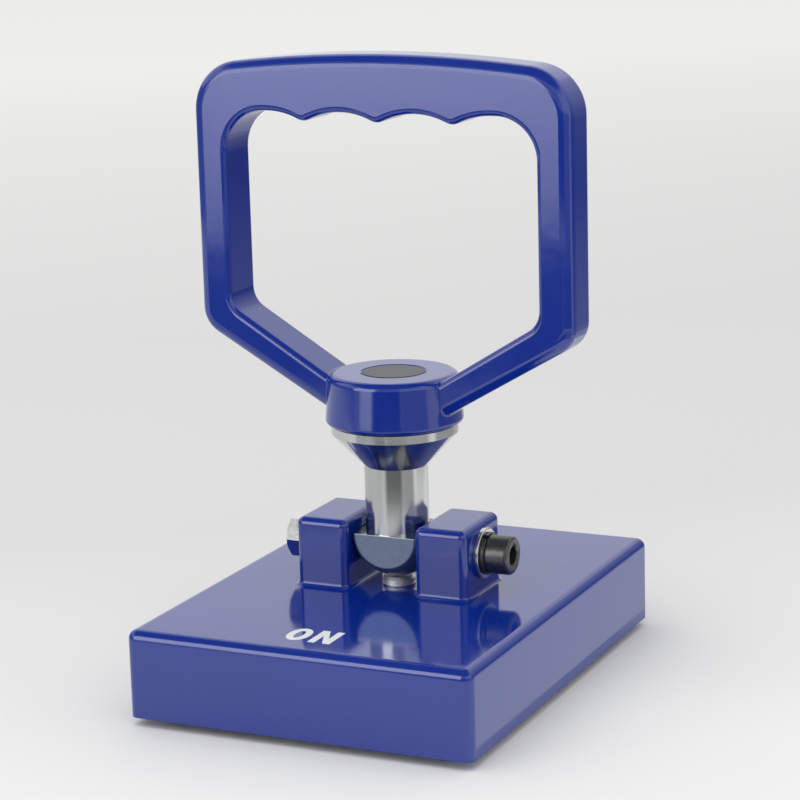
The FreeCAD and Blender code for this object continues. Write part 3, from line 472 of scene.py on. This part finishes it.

# %% [markdown]
# ## The stem's own finish
# The stem is one turned piece with three surfaces: chrome plate, a knuckle that was milled bare below
# it, and the bare end of the spigot, which shows as a grey disc in the grip's hub. The milled knuckle's
# tone is also tinted blue: a painted reflection of the blue paint round it. Three materials on three
# groups of faces could do this, but the model's mesh is left as it is. So one material changes with
# the height.

# %% Define chrome with bare ends
EDGE_BLUR = 0.1 * MM
TURNING_MARKS, TURNING_TIMES = 500, (0.4, 0.4, 6.0)
CUTTER_MARKS, CUTTER_TIMES = 700, (1.0, 6.0, 1.0)
TURNING_DEPTH = 0.001 * MM
CHROME_TONES = ((0.56, 0.58, 0.58), (0.64, 0.65, 0.65))
# The milled tones are bare steel's grey tinted blue: a painted reflection of the paint round the knuckle
MILLED_TONES_WITH_PAINTED_BLUE = ((0.19, 0.24, 0.32), (0.27, 0.33, 0.42))
SPIGOT_TONES = ((0.09, 0.095, 0.10), (0.16, 0.165, 0.17))
CHROME_ROUGHNESS = (0.15, 0.15, 0.15)
MILLED_ROUGHNESS = (0.48, 0.48, 0.48)
SPIGOT_ROUGHNESS = (0.45, 0.45, 0.45)


def chrome_with_bare_ends(name, milled_to, bare_from):
    """Chrome plate with faint turning marks. Below one height the metal is milled bare, and above
    another it is turned bare: both are greyer and less smooth. The milled part also has a painted
    blue reflection of the paint round it."""
    material, tree, shader = plain_finish(name, Metallic=1.0)
    turning = noise(tree, TURNING_MARKS, FINE_DETAIL, TURNING_TIMES)
    cutter = noise(tree, CUTTER_MARKS, FINE_DETAIL, CUTTER_TIMES)
    plated_part = ramp(tree, "Z", milled_to - EDGE_BLUR, milled_to)
    bare_part = ramp(tree, "Z", bare_from - EDGE_BLUR, bare_from)
    chrome = between(tree, turning, *CHROME_TONES)
    # Bare milled steel, tinted with a painted blue reflection
    milled_with_painted_blue = between(tree, cutter, *MILLED_TONES_WITH_PAINTED_BLUE)
    spigot = between(tree, cutter, *SPIGOT_TONES)
    tone = between(tree, bare_part, between(tree, plated_part, milled_with_painted_blue, chrome), spigot)
    lower_roughness = between(tree, plated_part, MILLED_ROUGHNESS, CHROME_ROUGHNESS)
    roughness = between(tree, bare_part, lower_roughness, SPIGOT_ROUGHNESS)
    tree.links.new(tone, shader.inputs["Base Color"])
    tree.links.new(roughness, shader.inputs["Roughness"])
    relief(tree, shader, turning, TURNING_DEPTH)
    return material


print("chrome with bare ends defined")

# %% [markdown]
# ## Finishes of the model's own pieces
# The block and the grip share one blue enamel. The magnets, the screws and the lock washer are black,
# the nut and the flat washers are zinc plated, and the push rod is ground steel. The finishes could be
# put on piece by piece. But the record says which slot each piece takes, so one loop dresses them all.

# %% Give every piece its finish
PAINTED = ("block_paint", "handle_paint")
PAINT_DEEP = (0.003, 0.023, 0.252)
PAINT_LIGHT = (0.004, 0.027, 0.280)
ORANGE_PEEL = 0.018 * MM
KNUCKLE_HEIGHT = 15.6 * MM
SPIGOT_SHOWN = 2.0 * MM
STEM_LOW, STEM_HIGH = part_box("stem")
OXIDE_INDEX = 1.9
SHALLOW, COARSE, GRAINY = 0.002 * MM, 0.003 * MM, 0.006 * MM

# How many times closer the marks lie along X, Y and Z, named for the way that they run
EVEN = (1.0, 1.0, 1.0)
ALONG_X = (1.0, 12.0, 1.0)
ROUND_X = (6.0, 1.0, 1.0)
ROUND_Z = (0.5, 0.5, 8.0)

# Dark and bright tone, roughness, marks to a metre, the way that they run, depth
METALS = {
    "bronze": ((0.55, 0.36, 0.16), (0.66, 0.46, 0.22), (0.25, 0.35), 700, ROUND_X, SHALLOW),
    "plate_steel": ((0.38, 0.39, 0.40), (0.48, 0.49, 0.50), (0.25, 0.40), 400, ALONG_X, COARSE),
    "zinc_steel": ((0.64, 0.65, 0.65), (0.74, 0.74, 0.73), (0.16, 0.26), 900, EVEN, SHALLOW),
    # ground_steel's tones lie well above bare steel's: painted light on the push rod, which lies in shade
    # under the knuckle
    "ground_steel": ((0.90, 0.89, 0.86), (0.96, 0.95, 0.92), (0.48, 0.58), 700, ROUND_Z, SHALLOW),
    "spring_steel": ((0.24, 0.24, 0.25), (0.34, 0.34, 0.35), (0.25, 0.35), 900, EVEN, SHALLOW),
}
# Dark and light tone, roughness, depth of the grain, refractive index
COATS = {
    "magnet": ((0.012, 0.012, 0.014), (0.022, 0.022, 0.025), (0.40, 0.55), GRAINY, COAT_INDEX),
    "black_steel": ((0.012, 0.013, 0.012), (0.024, 0.026, 0.023), (0.26, 0.38), COARSE, OXIDE_INDEX),
}
FINISHES = {name: gloss_paint(name, PAINT_DEEP, PAINT_LIGHT, ORANGE_PEEL) for name in PAINTED}
FINISHES |= {name: bright_metal(name, *looks) for name, looks in METALS.items()}
FINISHES |= {name: dull_coat(name, *looks) for name, looks in COATS.items()}
FINISHES["chrome"] = chrome_with_bare_ends(
    "chrome", STEM_LOW[2] + KNUCKLE_HEIGHT, STEM_HIGH[2] - SPIGOT_SHOWN)

for part in frame["record"]["subparts"]:
    node = frame["nodes"][part["node"]]
    node.data.materials.clear()
    node.data.materials.append(FINISHES[part["material_slot"]])
print("finishes:", ", ".join(FINISHES))

# %% [markdown]
# ## Turned pieces
# The bolt, the nut and the washers are round about the pivot, apart from their hexagons. A Screw
# modifier could turn a profile, and booleans could cut the hexagons. Here such a piece is one grid
# worked out at once: one number runs along the profile, the other is the angle round the pivot, and
# where the piece isn't round the radius follows the angle. Each stands in for a piece of the model, and
# takes its place and size from it.

# %% Define turned pieces
TURN_STEPS = 96
TURN = np.linspace(0.0, 2 * np.pi, TURN_STEPS, endpoint=False)
SIXTH = np.pi / 3
QUARTER_STEPS = 7
QUARTER = np.linspace(0.0, np.pi / 2, QUARTER_STEPS)
MEETING = 0.001 * MM
CREASE = math.radians(32.0)
BOLT_LOW, BOLT_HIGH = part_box("pivot_bolt")
PIVOT_HEIGHT = (BOLT_LOW[2] + BOLT_HIGH[2]) / 2


def hexagon(flats):
    """The distance from the middle to the side of a hexagon, for every angle of the turn: half the
    width across flats over the cosine of the angle from the nearest flat. A corner lies at angle 0."""
    return flats / 2 / np.cos(TURN % SIXTH - SIXTH / 2)


def rolled_edge(face, rim, roll, side=1):
    """The places and radii of a quarter round from the rim to a face: back from the face by the roll
    times one less the sine, and in from the rim by the roll times one less the cosine."""
    return face - side * roll * (1 - np.sin(QUARTER)), rim - roll * (1 - np.cos(QUARTER))


def closed(piece):
    """Merge the points that meet, turn all faces outwards, and smooth all but the sharp edges."""
    shell = bmesh.new()
    shell.from_mesh(piece.data)
    bmesh.ops.remove_doubles(shell, verts=shell.verts, dist=MEETING)
    bmesh.ops.recalc_face_normals(shell, faces=shell.faces)
    shell.to_mesh(piece.data)
    shell.free()
    piece.data.shade_smooth()
    piece.data.set_sharp_from_angle(angle=CREASE)
    return piece


def turned_piece(name, along, radius, ring=False):
    """A grid in two numbers, the step along a profile and the angle round the pivot. A point lies at
    its place along X and at its radius from the pivot: at angle 0 towards +Y, a quarter turn on above
    it. A ring's profile returns to its start, and any other begins and ends on the axis."""
    along, radius = np.broadcast_arrays(along, radius)
    points = np.stack([along, radius * np.cos(TURN), PIVOT_HEIGHT + radius * np.sin(TURN)], axis=-1)
    return closed(surface(name, points, grid_faces(len(radius), TURN_STEPS, ring, tube=True)))


def fit(piece, slot, *nodes):
    """Finish a piece by its slot, let it move with the base and stand in for the model's own nodes."""
    piece.data.materials.append(FINISHES[slot])
    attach(piece, "base")
    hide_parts(*nodes)
    print(piece.name, len(piece.data.polygons), "faces")


print("turned pieces have", TURN_STEPS, "steps round the pivot, which is", round(PIVOT_HEIGHT, 4), "m up")

# %% [markdown]
# ## Pivot bolt
# The grip tilts on a black cap screw. Its head has a rounded rim and a hexagon socket for a key, and
# the drill left a cone at the bottom of the socket. The socket could be a dark picture of a hexagon,
# but from the side only a real hollow looks right. The profile runs from the tip up the shank, round
# the head and down into the socket, whose two upper rows follow the hexagon.

# %% Turn the pivot bolt
HEAD_RADIUS = (BOLT_HIGH[2] - BOLT_LOW[2]) / 2
HEAD_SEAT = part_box("lock_washer")[1][0]
HEAD_EDGE = 1.3 * MM
SHANK_RADIUS = 4.0 * MM
SMALL_BEVEL = 0.4 * MM
SOCKET_FLATS = 6.0 * MM
SOCKET_MOUTH = 3.75 * MM
SOCKET_DEPTH = 4.0 * MM
SOCKET_POINT = 4.8 * MM

tip, face = BOLT_LOW[0], BOLT_HIGH[0]
shank = [(tip, 0.0), (tip, SHANK_RADIUS - SMALL_BEVEL)]
shank += [(tip + SMALL_BEVEL, SHANK_RADIUS), (HEAD_SEAT, SHANK_RADIUS)]
head = [(HEAD_SEAT, HEAD_RADIUS - SMALL_BEVEL), (HEAD_SEAT + SMALL_BEVEL, HEAD_RADIUS)]
edge = np.stack(rolled_edge(face, HEAD_RADIUS, HEAD_EDGE), axis=1)
profile = np.concatenate([shank, head, edge, [(face, SOCKET_MOUTH)]])
socket_along = face - np.array([SMALL_BEVEL, SOCKET_DEPTH, SOCKET_POINT])
socket_radius = hexagon(SOCKET_FLATS) * np.array([[1.0], [1.0], [0.0]])
bolt_along = np.concatenate([profile[:, 0], socket_along])[:, None]
bolt_radius = np.concatenate([np.repeat(profile[:, 1:], TURN_STEPS, axis=1), socket_radius])
fit(turned_piece("cap_screw", bolt_along, bolt_radius), "black_steel", "pivot_bolt")

# %% [markdown]
# ## Nut
# A hexagon nut is cut from bar, turned to a cone at both ends and tapped. The cone meets each flat in
# an arch, and that curve needs no boolean here: where the cone's radius reaches the flat is known for
# every angle. The thread shows only in the end of the bore that the bolt leaves free, so only there
# does the radius wind.

# %% Cut the nut
NUT_LOW, NUT_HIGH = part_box("pivot_nut")
NUT_FACE_RADIUS = 6.3 * MM
NUT_BEVEL_SLOPE = math.tan(math.radians(30.0))
BORE_RADIUS = 4.03 * MM
THREAD_PITCH = 1.25 * MM
THREAD_DEPTH = 0.5 * MM
THREAD_RUN_OUT = 0.2 * MM
THREAD_ROWS = 22

# The cone rises from the face by its slope times how far the flat lies outside the face
flats = hexagon(NUT_HIGH[2] - NUT_LOW[2])
bevel = (flats - NUT_FACE_RADIUS) * NUT_BEVEL_SLOPE
full_turn = np.ones(TURN_STEPS)
outer_end, seat = NUT_LOW[0], NUT_HIGH[0]

# The thread winds by the place over the pitch plus the share of the turn, and its ridge is a
# triangle wave of that
thread_along = np.linspace(tip - SMALL_BEVEL, outer_end + SMALL_BEVEL, THREAD_ROWS)[:, None]
wound = (thread_along / THREAD_PITCH + TURN / (2 * np.pi)) % 1.0
from_ends = np.minimum(thread_along[0] - thread_along, thread_along - thread_along[-1])
ridge = THREAD_DEPTH * (1 - np.abs(2 * wound - 1)) * np.clip(from_ends / THREAD_RUN_OUT, 0, 1)

# The profile runs over the outer face, the flats and the seat, and back through the bore
bore_mouth = (BORE_RADIUS + SMALL_BEVEL) * full_turn
nut_along = np.concatenate([
    [outer_end * full_turn, outer_end + bevel, seat - bevel, seat * full_turn, seat * full_turn],
    [(seat - SMALL_BEVEL) * full_turn], thread_along * full_turn, [outer_end * full_turn]])
nut_radius = np.concatenate([
    [NUT_FACE_RADIUS * full_turn, flats, flats, NUT_FACE_RADIUS * full_turn, bore_mouth],
    [BORE_RADIUS * full_turn], BORE_RADIUS - ridge, [bore_mouth]])
fit(turned_piece("hexagon_nut", nut_along, nut_radius, ring=True), "zinc_steel", "pivot_nut")

# %% [markdown]
# ## Flat washers
# A stamped washer has one rolled edge, where the punch drew the sheet down, and one nearly sharp edge.
# A cylinder with a Bevel modifier would have both edges alike. Both washers lie with the rolled edge
# outwards, so the same turned ring serves both, mirrored by the sign of its side.

# %% Stamp the flat washers
WASHER_BORE = 4.2 * MM
WASHER_ROLL = 0.5 * MM
WASHER_NICK = 0.12 * MM


def flat_washer(name, node, side):
    """A ring whose profile runs up the seat, rolls round the outer edge and comes back down the outer
    face."""
    low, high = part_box(node)
    seat, outer = (low[0], high[0]) if side > 0 else (high[0], low[0])
    rim = (high[2] - low[2]) / 2
    mouth = WASHER_BORE + WASHER_NICK
    above_seat = seat + side * WASHER_NICK
    below_face = outer - side * WASHER_NICK
    roll_along, roll_radius = rolled_edge(outer, rim, WASHER_ROLL, side)
    along = np.concatenate([[seat, seat, above_seat], roll_along, [outer, below_face, above_seat]])
    radius = np.concatenate([
        [mouth, rim - WASHER_NICK, rim], roll_radius, [mouth, WASHER_BORE, WASHER_BORE]])
    ring = turned_piece(name, along[:, None], radius[:, None] * full_turn, ring=True)
    fit(ring, "zinc_steel", node)


flat_washer("screw_side_washer", "bolt_washer", 1)
flat_washer("nut_side_washer", "nut_washer", -1)

# %% [markdown]
# ## Lock washer
# Under the screw's head lies one turn of spring wire, rolled to a rounded rectangle and cut through. It
# could be a curve with a bevel. Here a rounded profile is carried along an arc that stops short of a
# full turn, because one formula then gives the flat sides and the small round corners. Each end is
# closed by one face. The same helper winds the spring of the next step.

# %% Coil the lock washer
LOCK_STEPS = 73
LOCK_PROFILE_STEPS = 32
LOCK_SQUARENESS = 0.35
LOCK_SPLIT = 1.5 * MM
LOCK_SPLIT_AT = math.radians(115.0)
LOCK_LOW, LOCK_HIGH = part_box("lock_washer")


def swept(name, points):
    """A wire from a grid of points: one row for each step along its path, one column for each step
    round its profile. Every row closes on itself, and each end of the wire gets one face."""
    steps, rim = points.shape[:2]
    ends = [list(range(rim)), list(range((steps - 1) * rim, steps * rim))]
    return closed(surface(name, points, grid_faces(steps, rim, tube=True) + ends))


def squared(wave):
    """A sine or cosine pressed towards its ends by a power below one, with its sign kept."""
    return np.sign(wave) * np.abs(wave) ** LOCK_SQUARENESS


lock_rim = (LOCK_HIGH[2] - LOCK_LOW[2]) / 2
lock_middle = (lock_rim + WASHER_BORE) / 2
half_gap = LOCK_SPLIT / 2 / lock_middle
way = np.linspace(LOCK_SPLIT_AT + half_gap, LOCK_SPLIT_AT + 2 * np.pi - half_gap, LOCK_STEPS)[:, None]
round_profile = np.linspace(0.0, 2 * np.pi, LOCK_PROFILE_STEPS, endpoint=False)
half_wire = (LOCK_HIGH[0] - LOCK_LOW[0]) / 2
wire_along = (LOCK_LOW[0] + LOCK_HIGH[0]) / 2 + half_wire * squared(np.sin(round_profile))
wire_radius = lock_middle + (lock_rim - WASHER_BORE) / 2 * squared(np.cos(round_profile))
wire = np.broadcast_arrays(
    wire_along, wire_radius * np.cos(way), PIVOT_HEIGHT + wire_radius * np.sin(way))
fit(swept("spring_lock_washer", np.stack(wire, axis=-1)), "black_steel", "lock_washer")

# %% [markdown]
# ## Return spring
# Inside the block a compression spring lifts the push rod again when the lever comes back. The model's
# spring is stiff, so a rod going down would sink into it. A lattice or shape keys could press it
# together. Here the spring is only wound again as wire on a helix in its place, and nothing presses it.

# %% Wind the return spring
SPRING_TURNS = 3.5
SPRING_WIRE = 1.8 * MM
SPRING_STEPS = 169
SPRING_PROFILE_STEPS = 20
SPRING_LOW, SPRING_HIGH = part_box("return_spring")

# A point lies out from the rod by the coil's radius plus the wire's cosine, and up by its share of
# the rise plus the wire's sine
coil_radius = (SPRING_HIGH[0] - SPRING_LOW[0] - SPRING_WIRE) / 2
coil_rise = SPRING_HIGH[2] - SPRING_LOW[2] - SPRING_WIRE
coil_share = np.linspace(0.0, 1.0, SPRING_STEPS)[:, None]
coil_turn = 2 * np.pi * SPRING_TURNS * coil_share
round_wire = np.linspace(0.0, 2 * np.pi, SPRING_PROFILE_STEPS, endpoint=False)
coil_out = coil_radius + SPRING_WIRE / 2 * np.cos(round_wire)
coil_up = SPRING_LOW[2] + SPRING_WIRE / 2 * (1 + np.sin(round_wire)) + coil_rise * coil_share
coil = np.stack([coil_out * np.cos(coil_turn), coil_out * np.sin(coil_turn), coil_up], axis=-1)
spring = swept("compression_spring", coil)
spring.data.materials.append(FINISHES["spring_steel"])
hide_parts("return_spring")
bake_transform(spring)
print(spring.name, len(spring.data.polygons), "faces")

# %% [markdown]
# ## Switch mark
# White letters on the block say which way the lever switches the magnets on. A text object could be
# made a mesh, but two plain letters need no font. They are printed, so each is a thin coat: a flat
# letter with a Solidify modifier that lets its lower face sink a little into the paint. The O is a grid
# between two ovals, and the N is an outline of ten corners.

# %% Print the switch mark
LUG_HEIGHT = 23.5 * MM
BLOCK_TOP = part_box("housing")[1][2] - LUG_HEIGHT
LETTER_PROUD = 0.05 * MM
LETTER_COAT = 0.10 * MM
LETTER_FOOT = -69.4 * MM
LETTER_HEIGHT = 11.9 * MM
LETTER_WIDTH = 7.6 * MM
LETTER_STROKE = 2.4 * MM
O_LEFT = -9.2 * MM
N_LEFT = 0.2 * MM
N_NOTCH = 7.0 * MM
OVAL_STEPS = 64
PRINT_TONES = ((0.80, 0.82, 0.83), (0.88, 0.89, 0.90))
PRINT_ROUGHNESS = (0.35, 0.50)
PRINT_GRAIN = 0.001 * MM
DOWNWARDS = -1.0
WHITE_PRINT = dull_coat("white_print", *PRINT_TONES, PRINT_ROUGHNESS, PRINT_GRAIN)


def printed(name, left, outline, faces):
    """A flat letter whose corners lie on the block's top, to the right of its left edge and behind its
    foot."""
    outline = outline + np.array([left, LETTER_FOOT])
    level = np.full((len(outline), 1), BLOCK_TOP + LETTER_PROUD)
    letter = surface(name, np.concatenate([outline, level], axis=1), faces)
    coat = letter.modifiers.new("coat", "SOLIDIFY")
    coat.thickness = LETTER_COAT
    coat.offset = DOWNWARDS
    letter.data.materials.append(WHITE_PRINT)
    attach(letter, "base")
    print(name, len(faces), "faces")


# The O's two ovals: half its size, less the stroke for the inner one, times the cosine and the sine
oval = np.linspace(0.0, 2 * np.pi, OVAL_STEPS, endpoint=False)
inset = LETTER_STROKE * np.array([[0.0], [1.0]])
across = LETTER_WIDTH / 2 + (LETTER_WIDTH / 2 - inset) * np.cos(oval)
upward = LETTER_HEIGHT / 2 + (LETTER_HEIGHT / 2 - inset) * np.sin(oval)
o_outline = np.stack([across, upward], axis=-1).reshape(-1, 2)
printed("letter_o", O_LEFT, o_outline, grid_faces(2, OVAL_STEPS, tube=True))

n_inner = LETTER_WIDTH - LETTER_STROKE
n_outline = [
    (0, 0), (LETTER_STROKE, 0), (LETTER_STROKE, N_NOTCH), (n_inner, 0), (LETTER_WIDTH, 0),
    (LETTER_WIDTH, LETTER_HEIGHT), (n_inner, LETTER_HEIGHT), (n_inner, LETTER_HEIGHT - N_NOTCH),
    (LETTER_STROKE, LETTER_HEIGHT), (0, LETTER_HEIGHT)]
printed("letter_n", N_LEFT, np.array(n_outline), [list(range(len(n_outline)))])
